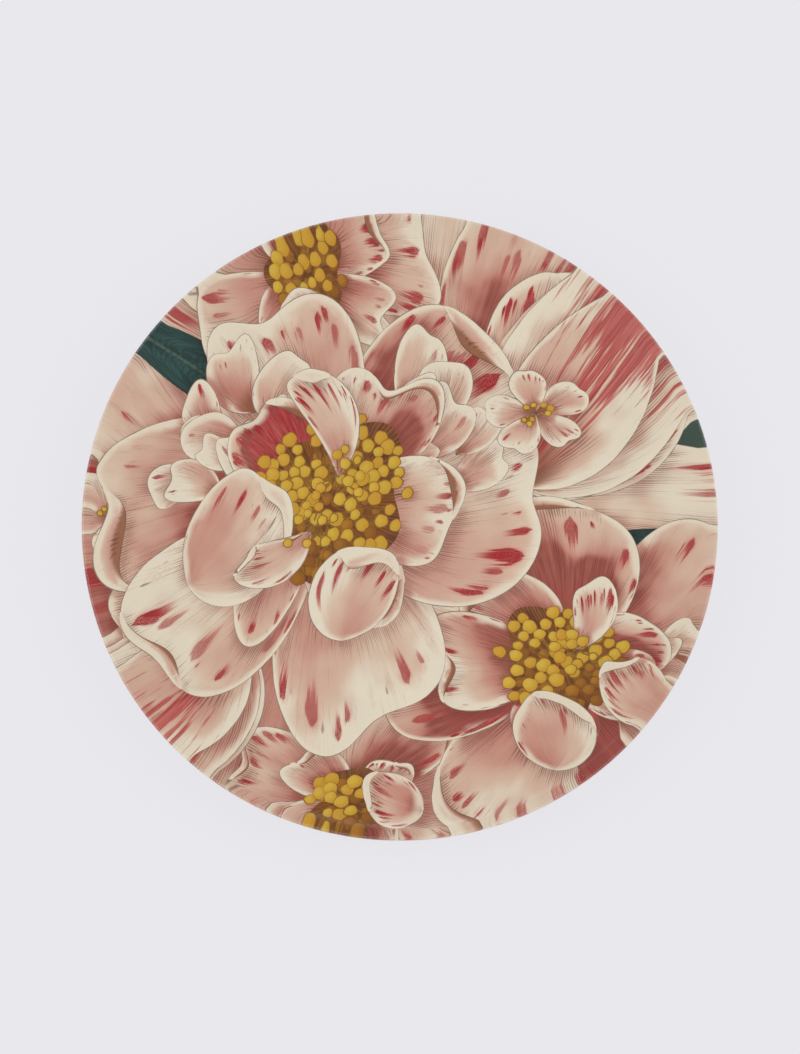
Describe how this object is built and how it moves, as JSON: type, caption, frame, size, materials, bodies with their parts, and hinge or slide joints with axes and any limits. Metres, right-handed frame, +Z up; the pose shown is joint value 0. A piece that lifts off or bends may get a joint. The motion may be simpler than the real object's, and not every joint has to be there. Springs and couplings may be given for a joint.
{
  "type": "decoupage glass plate",
  "caption": "Round shallow glass plate with upturned rim, a flower print glued under the glass and a gilt backing.",
  "frame": {"origin": "centre of the flat underside, on the surface the plate rests on", "axes": "+Z up, out of the dish, along the plate's turning axis"},
  "size_m": [0.203, 0.203, 0.0161],
  "materials": {
    "glass": "clear, fire-polished edge",
    "print": "matte printed paper",
    "backing": "gilt and lacquered"
  },
  "bodies": {
    "root": {"glass_plate": "glass", "print_sheet": "print", "backing_layer": "backing"}
  },
  "joints": []
}
